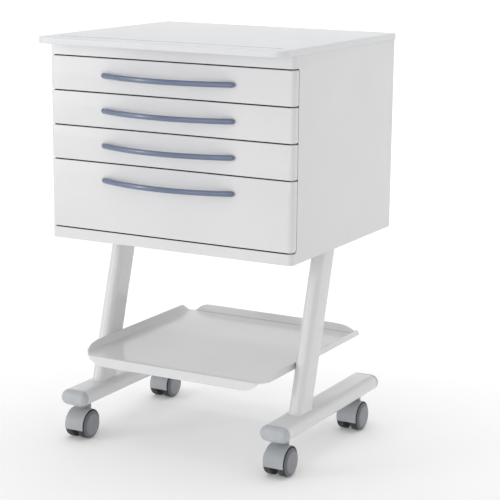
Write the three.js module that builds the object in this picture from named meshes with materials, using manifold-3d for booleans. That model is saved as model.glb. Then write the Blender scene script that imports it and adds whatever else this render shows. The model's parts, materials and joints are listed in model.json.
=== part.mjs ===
// Instrument cart: a steel drawer cabinet with an overhanging worktop, carried by two
// leaning oval legs on two foot bars, with a tray shelf between the legs and four
// twin-wheel casters.
//
// Millimetres, +Z up, floor at Z = 0. The drawers open towards -Y and +X is to the right
// of someone who faces them. The origin is on the floor under the middle of the cart.

import * as THREE from 'three';
import { mergeVertices } from 'three/addons/utils/BufferGeometryUtils.js';
import Module from 'manifold-3d';

const wasm = await Module();
wasm.setup();

// ---------------------------------------------------------------- driving dimensions

const SHEET = 1.5; // sheet steel of the cabinet, drawers and shelf
const WALL = 2.5; // wall of the leg and foot tubes
const GAP = 0.3; // between pieces that touch
const REVEAL = 2.6; // shadow gap above and below each drawer front
const SIDE_REVEAL = 1.6; // shadow gap between a drawer front and the side panel

const cabinet = { width: 600, depth: 500, height: 434, bottom: 475, corner: 11 };
const worktop = { thickness: 13.5, front: 55, side: 3, back: 2, corner: 30, rearCorner: 5, edge: 2 };
const groove = { halfLength: 272, width: 1.2, depth: 0.8, behindFront: 54 };

const front = {
  wrap: 20, // how far a drawer front turns the corner
  bottomRail: 25.5, // height of the fixed rail under the drawers
  pitch: 76, // one drawer module
  modules: [1, 1, 1, 2], // drawer heights in modules, from the top
};
const box = { halfWidth: 284, length: 450, lift: 6, shallow: 58, deep: 134 };
const runner = { reach: 9.5, height: 10, centre: 12, start: 18 }; // lip along each drawer side
const rail = { depth: 12.2, halfHeight: 7, start: 26.5, length: 445 };
const handle = { halfLength: 159, bulge: 33, halfHeight: 6, halfDepth: 4.5, drop: 38 };

const leg = { x: 257, thickness: 32, width: 72.8, footY: 138.6, topY: 244.8 };
const legPlate = { width: 70, length: 120, thickness: 3, sink: 9.7 };
const foot = { width: 70, height: 36, centreZ: 99.5, y0: 23, y1: 473, capDome: 18 };
const capSpigot = 14; // how far an end cap plugs into its tube
const sleeveRadius = 9; // tube inside a foot bar that holds a caster stem

const shelf = {
  z: 207.5, // top of the tray's floor
  halfWidth: 235,
  y0: 13, // front and back edges, behind the plane of the drawer fronts
  y1: 497,
  sheet: 2,
  corner: 20, // plan radius of the two front corners
  rise: 17.5, // height of the upturned edges
  lean: 13, // degrees that they lean outwards
  drop: 21, // height of the downturned front edge
};
const pad = { radius: 10, thickness: 1, lift: 7 };

const caster = {
  y: [64, 432], // swivel axes, behind the plane of the drawer fronts
  trail: 17.5, // wheel axle ahead of the swivel axis
  wheelRadius: 32.5,
  wheelInner: 8,
  wheelOuter: 30,
  hoodRadius: 36,
  hoodHalfWidth: 24,
  hoodSkin: 1.8,
  hoodArc: [12, 192], // degrees round the axle, from the back over the top to the front
  webHalfWidth: 6.5,
  bossRadius: 12,
  neckRadius: 11,
  neckTop: 78.2,
  stemRadius: 4,
  axleRadius: 2.9,
};

// ---------------------------------------------------------------- derived positions

const worktopDepth = worktop.front + cabinet.depth + worktop.back;
const frontY = -worktopDepth / 2 + worktop.front; // plane of the drawer fronts
const backY = frontY + cabinet.depth;
const halfW = cabinet.width / 2;
const cabinetTop = cabinet.bottom + cabinet.height;
const sideStart = frontY + front.wrap + SIDE_REVEAL; // front edge of the side panels
const footTop = foot.centreZ + foot.height / 2;
const footBottom = foot.centreZ - foot.height / 2;
const legTop = cabinet.bottom + legPlate.sink - legPlate.thickness - GAP;

// ---------------------------------------------------------------- materials

function finish(color, roughness, metalness) {
  return () => new THREE.MeshStandardMaterial({ color, roughness, metalness });
}

const whitePaint = finish(0xe6e7e8, 0.3, 0.0);
const worktopWhite = finish(0xe9ebed, 0.35, 0.0);
const slateBlue = finish(0x6c7a9c, 0.35, 0.1);
const capGrey = finish(0xb4b9be, 0.5, 0.0);
const hoodGrey = finish(0x9c9fa3, 0.5, 0.0);
const wheelGrey = finish(0x6e7074, 0.6, 0.0);
const blackRubber = finish(0x1c1c1e, 0.8, 0.0);
const zincSteel = finish(0xb8bcc0, 0.35, 0.9);

// ---------------------------------------------------------------- shape helpers

// A closed three.js geometry as a solid that can be joined and cut.
function solid(geometry) {
  const bare = geometry.index ? geometry.toNonIndexed() : geometry.clone();
  bare.deleteAttribute('normal');
  bare.deleteAttribute('uv');
  const merged = mergeVertices(bare, 1e-4);
  return new wasm.Manifold(
    new wasm.Mesh({
      numProp: 3,
      vertProperties: new Float32Array(merged.attributes.position.array),
      triVerts: new Uint32Array(merged.index.array),
    }),
  );
}

function toGeometry(body) {
  const mesh = body.getMesh();
  const geometry = new THREE.BufferGeometry();
  geometry.setAttribute('position', new THREE.BufferAttribute(mesh.vertProperties, 3));
  geometry.setIndex(new THREE.BufferAttribute(mesh.triVerts, 1));
  geometry.computeVertexNormals();
  return geometry;
}

function join(first, ...others) {
  return others.reduce((sum, other) => sum.add(other), first);
}

function cut(first, ...others) {
  return others.reduce((rest, other) => rest.subtract(other), first);
}

function block(x0, x1, y0, y1, z0, z1) {
  const geometry = new THREE.BoxGeometry(x1 - x0, y1 - y0, z1 - z0);
  return solid(geometry.translate((x0 + x1) / 2, (y0 + y1) / 2, (z0 + z1) / 2));
}

function extrude(shape, depth, curveSegments = 6) {
  return new THREE.ExtrudeGeometry(shape, { depth, curveSegments, bevelEnabled: false });
}

// A plan outline (X, Y) raised from z0 to z1.
function raisePlan(shape, z0, z1, curveSegments) {
  return solid(extrude(shape, z1 - z0, curveSegments).translate(0, 0, z0));
}

// A side outline (Y, Z) carried across from x0 to x1.
function carryAcross(shape, x0, x1, curveSegments) {
  const turn = new THREE.Matrix4().makeBasis(
    new THREE.Vector3(0, 1, 0),
    new THREE.Vector3(0, 0, 1),
    new THREE.Vector3(1, 0, 0),
  );
  return solid(extrude(shape, x1 - x0, curveSegments).applyMatrix4(turn).translate(x0, 0, 0));
}

// A front outline (X, Z) carried back from y0 to y1.
function carryBack(shape, y0, y1, curveSegments) {
  return solid(extrude(shape, y1 - y0, curveSegments).rotateX(Math.PI / 2).translate(0, y1, 0));
}

function polygon(points) {
  return new THREE.Shape(points.map(([x, y]) => new THREE.Vector2(x, y)));
}

function cylinder(radius, z0, z1, segments = 16) {
  const geometry = new THREE.CylinderGeometry(radius, radius, z1 - z0, segments);
  return solid(geometry.rotateX(Math.PI / 2).translate(0, 0, (z0 + z1) / 2));
}

// A cylinder along X, from x0 to x1, round the axis at (y, z).
function crossCylinder(radius, x0, x1, y, z, segments = 16) {
  const geometry = new THREE.CylinderGeometry(radius, radius, x1 - x0, segments);
  return solid(geometry.rotateZ(Math.PI / 2).translate((x0 + x1) / 2, y, z));
}

// A flat oval, two half circles joined by straight sides, as points in its own plane.
function ovalPoints(length, thickness, perEnd = 8) {
  const radius = thickness / 2;
  const reach = length / 2 - radius;
  const points = [];
  for (const side of [1, -1]) {
    for (let i = 0; i <= perEnd; i += 1) {
      const angle = -Math.PI / 2 + (Math.PI * i) / perEnd;
      points.push([side * (reach + radius * Math.cos(angle)), side * radius * Math.sin(angle)]);
    }
  }
  return points;
}

// A closed skin through rings of points, each ring with the same number of them.
function loft(rings) {
  const count = rings[0].length;
  const positions = rings.flat(2);
  const index = [];
  for (let r = 0; r < rings.length - 1; r += 1) {
    for (let i = 0; i < count; i += 1) {
      const a = r * count + i;
      const b = r * count + ((i + 1) % count);
      index.push(a, b, b + count, a, b + count, a + count);
    }
  }
  const last = (rings.length - 1) * count;
  for (let i = 1; i < count - 1; i += 1) {
    index.push(0, i + 1, i);
    index.push(last, last + i, last + i + 1);
  }
  const geometry = new THREE.BufferGeometry();
  geometry.setAttribute('position', new THREE.Float32BufferAttribute(positions, 3));
  geometry.setIndex(index);
  const body = solid(geometry);
  return body.volume() < 0 ? solid(turnInsideOut(geometry)) : body;
}

function turnInsideOut(geometry) {
  const index = Array.from(geometry.index.array);
  for (let i = 0; i < index.length; i += 3) {
    [index[i], index[i + 1]] = [index[i + 1], index[i]];
  }
  geometry.setIndex(index);
  return geometry;
}

// ---------------------------------------------------------------- the cart's tree

const cart = new THREE.Group();

function part(parent, name, body, material) {
  const mesh = new THREE.Mesh(toGeometry(body), material());
  mesh.name = name;
  parent.add(mesh);
  return mesh;
}

// ---------------------------------------------------------------- cabinet

// Plan outline of the cabinet's front, with both corners turned back to depth y1.
function frontOutline(halfWidth, y0, y1, corner) {
  const shape = new THREE.Shape();
  shape.moveTo(halfWidth, y1);
  shape.lineTo(-halfWidth, y1);
  shape.absarc(-halfWidth + corner, y0 + corner, corner, Math.PI, 1.5 * Math.PI, false);
  shape.absarc(halfWidth - corner, y0 + corner, corner, 1.5 * Math.PI, 2 * Math.PI, false);
  return shape;
}

// A pressed sheet pan with its face at the front and a folded rim round its open back.
function pressedPan(z0, z1, depth) {
  const back = frontY + depth;
  const rim = 14;
  const outer = raisePlan(frontOutline(halfW, frontY, back, cabinet.corner), z0, z1);
  const hollow = raisePlan(
    frontOutline(halfW - SHEET, frontY + SHEET, back - SHEET, cabinet.corner - SHEET),
    z0 + SHEET,
    z1 - SHEET,
  );
  const lip = Math.min(rim, (z1 - z0) / 4);
  const mouth = block(-halfW + 3 * rim, halfW - 3 * rim, back - 2 * SHEET, back + 1, z0 + lip, z1 - lip);
  return cut(outer, hollow, mouth);
}

function sidePanel(side) {
  const hem = 6;
  const rearFlange = 14;
  const x = (distance) => side * distance;
  const outline = [
    [x(halfW - hem), sideStart],
    [x(halfW), sideStart],
    [x(halfW), backY],
    [x(halfW - rearFlange), backY],
    [x(halfW - rearFlange), backY - SHEET],
    [x(halfW - SHEET), backY - SHEET],
    [x(halfW - SHEET), sideStart + SHEET],
    [x(halfW - hem), sideStart + SHEET],
  ];
  return raisePlan(polygon(outline), cabinet.bottom, cabinetTop - GAP);
}

function addCabinet() {
  const railDepth = front.wrap + SIDE_REVEAL - GAP;
  const drawersBottom = cabinet.bottom + front.bottomRail;
  const drawersTop = drawersBottom + front.pitch * front.modules.reduce((a, b) => a + b);
  const topRail = pressedPan(drawersTop + REVEAL / 2, cabinetTop - GAP, railDepth);
  const bottomRail = pressedPan(cabinet.bottom, drawersBottom - REVEAL / 2, railDepth);
  part(cart, 'top_rail', topRail, whitePaint);
  part(cart, 'bottom_rail', bottomRail, whitePaint);
  part(cart, 'side_panel_left', sidePanel(-1), whitePaint);
  part(cart, 'side_panel_right', sidePanel(1), whitePaint);

  const inside = halfW - SHEET - GAP;
  const backInner = backY - SHEET - GAP;
  const back = block(-inside, inside, backInner - SHEET, backInner, cabinet.bottom, cabinetTop - GAP);
  part(cart, 'back_panel', back, whitePaint);

  const panY0 = sideStart + SHEET + GAP;
  const panY1 = backInner - SHEET - GAP;
  const panZ = cabinet.bottom + legPlate.sink + GAP;
  const pan = block(-inside, inside, panY0, panY1, cabinet.bottom + 1, panZ + SHEET);
  const recess = block(-inside + SHEET, inside - SHEET, panY0 + SHEET, panY1 - SHEET, 0, panZ);
  part(cart, 'bottom_panel', cut(pan, recess), whitePaint);
}

// The worktop is rounded in plan at its front corners, with eased edges all round
// and a fine groove across it above the drawer fronts.
function addWorktop() {
  const { edge } = worktop;
  const halfX = halfW + worktop.side - edge;
  const halfY = worktopDepth / 2 - edge;
  const radius = worktop.corner - edge;
  const rear = worktop.rearCorner - edge;
  const shape = new THREE.Shape();
  shape.absarc(-halfX + radius, -halfY + radius, radius, Math.PI, 1.5 * Math.PI, false);
  shape.absarc(halfX - radius, -halfY + radius, radius, 1.5 * Math.PI, 2 * Math.PI, false);
  shape.absarc(halfX - rear, halfY - rear, rear, 0, 0.5 * Math.PI, false);
  shape.absarc(-halfX + rear, halfY - rear, rear, 0.5 * Math.PI, Math.PI, false);
  const geometry = new THREE.ExtrudeGeometry(shape, {
    depth: worktop.thickness - 2 * edge,
    curveSegments: 6,
    bevelEnabled: true,
    bevelThickness: edge,
    bevelSize: edge,
    bevelSegments: 2,
  });
  const slab = solid(geometry.translate(0, 0, cabinetTop + edge));
  const top = cabinetTop + worktop.thickness;
  const grooveY = -worktopDepth / 2 + groove.behindFront;
  const line = block(
    -groove.halfLength,
    groove.halfLength,
    grooveY,
    grooveY + groove.width,
    top - groove.depth,
    top + 1,
  );
  part(cart, 'worktop', cut(slab, line), worktopWhite);
}

// ---------------------------------------------------------------- drawers

// A lipped sheet box, open at the top, with a runner folded out along each side.
function drawerBox(z0, height) {
  const y0 = frontY + front.wrap + GAP;
  const y1 = y0 + box.length;
  const half = box.halfWidth;
  const outer = block(-half, half, y0, y1, z0, z0 + height);
  const inner = block(-half + SHEET, half - SHEET, y0 + SHEET, y1 - SHEET, z0 + SHEET, z0 + height + 1);
  const top = z0 + runner.centre + runner.height / 2;
  const bottom = top - runner.height;
  const runners = [-1, 1].map((side) => {
    const x = (distance) => side * distance;
    const outline = [
      [x(half - SHEET / 2), top],
      [x(half + runner.reach), top],
      [x(half + runner.reach), bottom],
      [x(half + runner.reach - SHEET), bottom],
      [x(half + runner.reach - SHEET), top - SHEET],
      [x(half - SHEET / 2), top - SHEET],
    ];
    return carryBack(polygon(outline), y0 + runner.start, y1);
  });
  return join(cut(outer, inner), ...runners);
}

// The C-shaped channel on a side panel that the drawer's runner slides in.
function slideRail(side, z) {
  const outer = halfW - SHEET - GAP;
  const inner = outer - rail.depth;
  const h = rail.halfHeight;
  const x = (distance) => side * distance;
  const outline = [
    [x(inner), z + h],
    [x(outer), z + h],
    [x(outer), z - h],
    [x(inner), z - h],
    [x(inner), z - h + SHEET],
    [x(outer - SHEET), z - h + SHEET],
    [x(outer - SHEET), z + h - SHEET],
    [x(inner), z + h - SHEET],
  ];
  return carryBack(polygon(outline), frontY + rail.start, frontY + rail.start + rail.length);
}

// A slim bow handle: an oval section carried along a flat arc, with domed ends.
function bowHandle(z) {
  const { halfLength, bulge, halfHeight, halfDepth } = handle;
  const radius = (halfLength ** 2 + bulge ** 2) / (2 * bulge);
  const sweep = Math.asin(halfLength / radius);
  const around = 10;
  const steps = 12;
  const rings = [];
  const addRing = (angle, past, scale) => {
    const along = [Math.cos(angle), Math.sin(angle)];
    const out = [Math.sin(angle), -Math.cos(angle)];
    const x = radius * Math.sin(angle) + past * along[0];
    const y = -radius * Math.cos(angle) + past * along[1];
    const ring = [];
    for (let i = 0; i < around; i += 1) {
      const turn = (2 * Math.PI * i) / around;
      const depth = scale * halfDepth * Math.cos(turn);
      ring.push([x + out[0] * depth, y + out[1] * depth, z + scale * halfHeight * Math.sin(turn)]);
    }
    rings.push(ring);
  };
  const dome = [75, 40];
  for (const degrees of dome) {
    const tilt = THREE.MathUtils.degToRad(degrees);
    addRing(-sweep, -halfHeight * Math.sin(tilt), Math.cos(tilt));
  }
  for (let i = 0; i <= steps; i += 1) {
    addRing(-sweep + (2 * sweep * i) / steps, 0, 1);
  }
  for (const degrees of [...dome].reverse()) {
    const tilt = THREE.MathUtils.degToRad(degrees);
    addRing(sweep, halfHeight * Math.sin(tilt), Math.cos(tilt));
  }
  const bow = loft(rings);
  return bow.translate([0, frontY - GAP - bow.boundingBox().max[1], 0]);
}

function addDrawers() {
  let top = cabinet.bottom + front.bottomRail;
  top += front.pitch * front.modules.reduce((a, b) => a + b);
  front.modules.forEach((modules, i) => {
    const number = i + 1;
    const bottom = top - modules * front.pitch;
    const z0 = bottom + REVEAL / 2;
    const z1 = top - REVEAL / 2;
    const boxZ = z0 + box.lift;
    const boxHeight = modules === 1 ? box.shallow : box.deep;
    const railZ = boxZ + runner.centre;
    part(cart, `drawer_${number}_front`, pressedPan(z0, z1, front.wrap), whitePaint);
    part(cart, `drawer_${number}_box`, drawerBox(boxZ, boxHeight), whitePaint);
    part(cart, `drawer_${number}_handle`, bowHandle(top - handle.drop), slateBlue);
    part(cart, `slide_rail_${number}_left`, slideRail(-1, railZ), zincSteel);
    part(cart, `slide_rail_${number}_right`, slideRail(1, railZ), zincSteel);
    top = bottom;
  });
}

// ---------------------------------------------------------------- legs and feet

// An oval tube that leans forward towards the foot bar, cut level at both ends.
function legTube(x) {
  const section = (inset, z) => {
    const t = (z - footTop) / (legTop - footTop);
    const y = frontY + leg.footY + t * (leg.topY - leg.footY);
    const points = ovalPoints(leg.width - 2 * inset, leg.thickness - 2 * inset);
    return points.map(([along, across]) => [x + across, y + along, z]);
  };
  const outer = loft([section(0, footTop + GAP), section(0, legTop)]);
  const bore = loft([section(WALL, footTop - 1), section(WALL, legTop + 1)]);
  return cut(outer, bore);
}

function ovalShape(length, thickness) {
  return polygon(ovalPoints(length, thickness));
}

// A flat-oval tube with a sleeve inside it for each caster stem.
function footBar() {
  const y0 = frontY + foot.y0;
  const y1 = frontY + foot.y1;
  const skin = carryBack(ovalShape(foot.width, foot.height), y0, y1);
  const hollow = carryBack(
    ovalShape(foot.width - 2 * WALL, foot.height - 2 * WALL),
    y0 - 1,
    y1 + 1,
  );
  const tube = cut(skin, hollow);
  const places = caster.y.map((y) => frontY + y);
  const rise = footTop - footBottom;
  const sleeves = places.map((y) => cylinder(sleeveRadius, 1, rise - 1).translate([0, y, 0]));
  const bores = places.map((y) => cylinder(caster.stemRadius + GAP, -1, rise - 6).translate([0, y, 0]));
  const raised = [...sleeves, ...bores].map((body) => body.translate([0, 0, footBottom]));
  const centred = tube.translate([0, 0, foot.centreZ]);
  return cut(join(centred, ...raised.slice(0, 2)), ...raised.slice(2));
}

// A domed plastic plug for the end of a foot bar. It faces -Y, with the tube's end at Y = 0.
function endCap() {
  const ring = (inset, y) =>
    ovalPoints(foot.width - 2 * inset, foot.height - 2 * inset, 7).map(([x, z]) => [x, y, z]);
  const plug = WALL + GAP;
  const rings = [ring(plug, capSpigot), ring(plug, -GAP), ring(0, -GAP), ring(0, -2)];
  const soften = 13;
  for (const degrees of [22, 44, 66, 88]) {
    const angle = THREE.MathUtils.degToRad(degrees);
    rings.push(ring(soften * (1 - Math.cos(angle)), -2 - (foot.capDome - 2) * Math.sin(angle)));
  }
  return loft(rings);
}

function addStand() {
  for (const [side, x] of [['left', -leg.x], ['right', leg.x]]) {
    part(cart, `leg_${side}`, legTube(x), whitePaint);
    const plateY = frontY + leg.topY;
    const plate = block(
      x - legPlate.width / 2,
      x + legPlate.width / 2,
      plateY - legPlate.length / 2,
      plateY + legPlate.length / 2,
      legTop + GAP,
      legTop + GAP + legPlate.thickness,
    );
    part(cart, `leg_plate_${side}`, plate, zincSteel);

    const bar = part(cart, `foot_bar_${side}`, footBar(), whitePaint);
    bar.position.x = x;
    const frontCap = part(cart, `foot_cap_front_${side}`, endCap(), capGrey);
    frontCap.position.set(x, frontY + foot.y0, foot.centreZ);
    const backCap = part(cart, `foot_cap_back_${side}`, endCap(), capGrey);
    backCap.position.set(x, frontY + foot.y1, foot.centreZ);
    backCap.rotation.z = Math.PI;
  }
}

// ---------------------------------------------------------------- shelf

// Outline of a side edge: swept up from the front corner, tapered down at the back.
function sideEdgeOutline() {
  const rise = shelf.rise + shelf.sheet;
  const start = shelf.corner - 1.5;
  const end = shelf.y1 - shelf.y0;
  const shape = new THREE.Shape();
  shape.moveTo(end - 2, 0);
  shape.lineTo(start, 0);
  shape.quadraticCurveTo(start + 20, rise, start + 52, rise);
  shape.lineTo(end - 36, rise);
  shape.lineTo(end - 2, 3);
  return shape;
}

// Outline of the back edge, swept down at both ends.
function backEdgeOutline() {
  const rise = shelf.rise + shelf.sheet;
  const reach = shelf.halfWidth - 18;
  const shape = new THREE.Shape();
  shape.moveTo(reach, 0);
  shape.lineTo(-reach, 0);
  shape.quadraticCurveTo(-reach + 13, rise, -reach + 36, rise);
  shape.lineTo(reach - 36, rise);
  shape.quadraticCurveTo(reach - 13, rise, reach, 0);
  return shape;
}

// Outline of the downturned front edge, swept up to both corners.
function frontEdgeOutline() {
  const { drop } = shelf;
  const reach = shelf.halfWidth - 16;
  const shape = new THREE.Shape();
  shape.moveTo(reach, 0);
  shape.quadraticCurveTo(reach - 13, -drop, reach - 43, -drop);
  shape.lineTo(-reach + 43, -drop);
  shape.quadraticCurveTo(-reach + 13, -drop, -reach, 0);
  return shape;
}

// An edge standing on its crease line, leaning outwards towards +X and running along +Y.
function leaningEdge(outline) {
  return carryAcross(outline, -shelf.sheet, 0, 8).rotate([0, shelf.lean, 0]);
}

function trayFloor() {
  const { halfWidth: half, corner, y0, y1, sheet } = shelf;
  const shape = new THREE.Shape();
  shape.moveTo(half, y1);
  shape.lineTo(-half, y1);
  shape.absarc(-half + corner, y0 + corner, corner, Math.PI, 1.5 * Math.PI, false);
  shape.absarc(half - corner, y0 + corner, corner, 1.5 * Math.PI, 2 * Math.PI, false);
  return raisePlan(shape, shelf.z - sheet, shelf.z, 6).translate([0, frontY, 0]);
}

function addShelf() {
  const { halfWidth: half, sheet } = shelf;
  const y0 = frontY + shelf.y0;
  const y1 = frontY + shelf.y1;
  const underside = shelf.z - sheet;
  const right = leaningEdge(sideEdgeOutline()).translate([half, y0, underside]);
  const left = right.mirror([1, 0, 0]);
  const back = leaningEdge(backEdgeOutline()).rotate([0, 0, 90]).translate([0, y1, underside]);
  const apron = carryBack(frontEdgeOutline(), y0, y0 + sheet, 8).translate([0, 0, shelf.z - 0.5]);
  part(cart, 'shelf_tray', join(trayFloor(), right, left, back, apron), whitePaint);

  const legInner = leg.x - leg.thickness / 2 - GAP;
  const padZ = shelf.z + pad.lift;
  const lean = (padZ - footTop) / (legTop - footTop);
  const padY = frontY + leg.footY + lean * (leg.topY - leg.footY);
  for (const [side, sign] of [['left', -1], ['right', 1]]) {
    const ends = [sign * (legInner - pad.thickness), sign * legInner].sort((a, b) => a - b);
    const disc = crossCylinder(pad.radius, ends[0], ends[1], padY, padZ, 16);
    part(cart, `shelf_pad_${side}`, disc, blackRubber);
  }
}

// ---------------------------------------------------------------- casters

// Curved cover over both wheels, with the web that holds the axle and the swivel neck.
// The swivel axis is the Z axis, and the wheels are ahead of it, towards -Y.
function casterHood() {
  const { hoodRadius, hoodHalfWidth, hoodSkin, webHalfWidth, bossRadius, trail } = caster;
  const axleY = -trail;
  const axleZ = caster.wheelRadius;
  const [from, to] = caster.hoodArc.map(THREE.MathUtils.degToRad);
  const outline = new THREE.Shape();
  outline.absarc(axleY, axleZ, hoodRadius, from, to, false);
  outline.absarc(axleY, axleZ, hoodRadius - hoodSkin, to, from, true);
  const cover = carryAcross(outline, -hoodHalfWidth, hoodHalfWidth, 10);

  const boss = crossCylinder(bossRadius, -webHalfWidth, webHalfWidth, axleY, axleZ, 16);
  const disc = crossCylinder(hoodRadius - hoodSkin / 2, -webHalfWidth, webHalfWidth, axleY, axleZ, 24);
  const upper = block(-20, 20, axleY - bossRadius, axleY + 60, axleZ, axleZ + 60);
  const web = join(boss, disc.intersect(upper));

  const neck = cylinder(caster.neckRadius, axleZ + bossRadius, caster.neckTop, 16);
  const collar = cut(neck, crossCylinder(hoodRadius - hoodSkin, -60, 60, axleY, axleZ, 24));
  const stemBore = cylinder(caster.stemRadius + GAP, 40, 90, 12);
  const axleBore = crossCylinder(caster.axleRadius + GAP, -30, 30, axleY, axleZ, 12);
  return cut(join(cover, web, collar), stemBore, axleBore);
}

// Steel swivel pin with a thrust washer, from the hood's web up into the foot bar.
function casterStem() {
  const r = caster.stemRadius;
  const profile = [
    [0, 42],
    [r, 42],
    [r, caster.neckTop + GAP],
    [9, caster.neckTop + GAP],
    [9, footBottom - GAP],
    [r, footBottom - GAP],
    [r, footTop - 9],
    [0, footTop - 9],
  ].map(([radius, z]) => new THREE.Vector2(radius, z));
  return solid(new THREE.LatheGeometry(profile, 12).rotateX(Math.PI / 2));
}

// One wheel: soft tread with a bevelled outer rim and a plain disc face.
// It spins about X, with the axle at the origin and the disc facing +X.
function casterWheel() {
  const { wheelRadius: r, wheelInner: inner, wheelOuter: outer, axleRadius } = caster;
  const profile = [
    [0, outer],
    [r - 9, outer - 0.8],
    [r - 8, outer - 1.6],
    [r - 4.5, outer - 2.2],
    [r, outer - 6],
    [r, inner + 1.5],
    [r - 1.5, inner],
    [axleRadius + GAP, inner],
    [axleRadius + GAP, outer - 3],
    [0, outer - 3],
  ].map(([radius, x]) => new THREE.Vector2(radius, x));
  const geometry = new THREE.LatheGeometry(profile, 22).rotateZ(-Math.PI / 2);
  return solid(turnOutward(geometry));
}

// Lathe profiles run either way round: this gives every solid a positive volume.
function turnOutward(geometry) {
  const bare = geometry.clone();
  bare.deleteAttribute('normal');
  bare.deleteAttribute('uv');
  const merged = mergeVertices(bare, 1e-4);
  const p = merged.attributes.position;
  const [a, b, c] = [new THREE.Vector3(), new THREE.Vector3(), new THREE.Vector3()];
  let volume = 0;
  for (let i = 0; i < merged.index.count; i += 3) {
    a.fromBufferAttribute(p, merged.index.getX(i));
    b.fromBufferAttribute(p, merged.index.getX(i + 1));
    c.fromBufferAttribute(p, merged.index.getX(i + 2));
    volume += a.dot(b.cross(c));
  }
  return volume < 0 ? turnInsideOut(merged) : merged;
}

function addCasters() {
  const rows = [['front', caster.y[0]], ['back', caster.y[1]]];
  for (const [side, x] of [['left', -leg.x], ['right', leg.x]]) {
    for (const [row, y] of rows) {
      const place = `${row}_${side}`;
      const swivel = new THREE.Group();
      swivel.position.set(x, frontY + y, 0);
      cart.add(swivel);
      part(swivel, `caster_stem_${place}`, casterStem(), zincSteel);
      part(swivel, `caster_hood_${place}`, casterHood(), hoodGrey);

      const axle = new THREE.Group();
      axle.position.set(0, -caster.trail, caster.wheelRadius);
      swivel.add(axle);
      const reach = caster.wheelOuter - 3 - GAP;
      const pin = crossCylinder(caster.axleRadius, -reach, reach, 0, 0, 12);
      part(axle, `caster_axle_${place}`, pin, zincSteel);
      part(axle, `wheel_right_${place}`, casterWheel(), wheelGrey);
      const mirrored = part(axle, `wheel_left_${place}`, casterWheel(), wheelGrey);
      mirrored.rotation.z = Math.PI;
    }
  }
}

addWorktop();
addCabinet();
addDrawers();
addStand();
addShelf();
addCasters();

export default cart;
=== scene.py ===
import json
import math

import bmesh
import bpy
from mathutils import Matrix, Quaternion, Vector


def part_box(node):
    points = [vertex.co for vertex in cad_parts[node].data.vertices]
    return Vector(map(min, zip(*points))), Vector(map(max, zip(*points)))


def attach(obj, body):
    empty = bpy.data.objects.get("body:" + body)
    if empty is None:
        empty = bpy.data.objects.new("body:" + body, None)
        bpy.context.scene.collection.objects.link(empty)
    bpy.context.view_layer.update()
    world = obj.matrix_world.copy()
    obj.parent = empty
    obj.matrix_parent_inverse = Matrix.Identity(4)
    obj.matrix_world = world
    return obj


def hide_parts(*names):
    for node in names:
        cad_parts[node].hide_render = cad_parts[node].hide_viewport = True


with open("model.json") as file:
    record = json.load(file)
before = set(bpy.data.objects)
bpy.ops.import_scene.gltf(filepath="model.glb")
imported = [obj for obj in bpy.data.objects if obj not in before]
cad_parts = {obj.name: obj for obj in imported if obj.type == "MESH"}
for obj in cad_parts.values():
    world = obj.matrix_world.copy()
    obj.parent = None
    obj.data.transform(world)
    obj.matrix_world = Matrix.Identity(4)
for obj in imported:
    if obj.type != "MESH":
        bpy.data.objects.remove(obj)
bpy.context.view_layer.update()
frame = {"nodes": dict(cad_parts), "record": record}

# Shapes are drawn in millimetres in the cart's own frame, and metre_mesh() scales them.
# Materials, lights and the camera are in metres.
MM = 0.001
SIDES = ("left", "right")
ROWS = ("front", "back")
DRAWERS = (1, 2, 3, 4)
SHARP = math.radians(38)  # a piece's edges that turn by more than this are hard edges
CAD_SHARP = math.radians(30)
CORE = 0.01  # radius left open along the axis of a turned part


def mm_box(node):
    """Lowest and highest corner of a CAD node at rest, in millimetres."""
    low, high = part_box(node)
    return Vector(low) / MM, Vector(high) / MM


def mm_middle(node):
    low, high = mm_box(node)
    return (low + high) / 2


# ------------------------------------------------------------------ materials


def srgb(red, green, blue):
    """A colour given as 0-255 display values, as the linear values that shaders take."""

    def linear(value):
        value /= 255
        return value / 12.92 if value <= 0.04045 else ((value + 0.055) / 1.055) ** 2.4

    return (linear(red), linear(green), linear(blue), 1.0)


def scaled(color, factor):
    """A darker or lighter version of a colour."""
    return tuple(min(1.0, channel * factor) for channel in color[:3]) + (1.0,)


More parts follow.
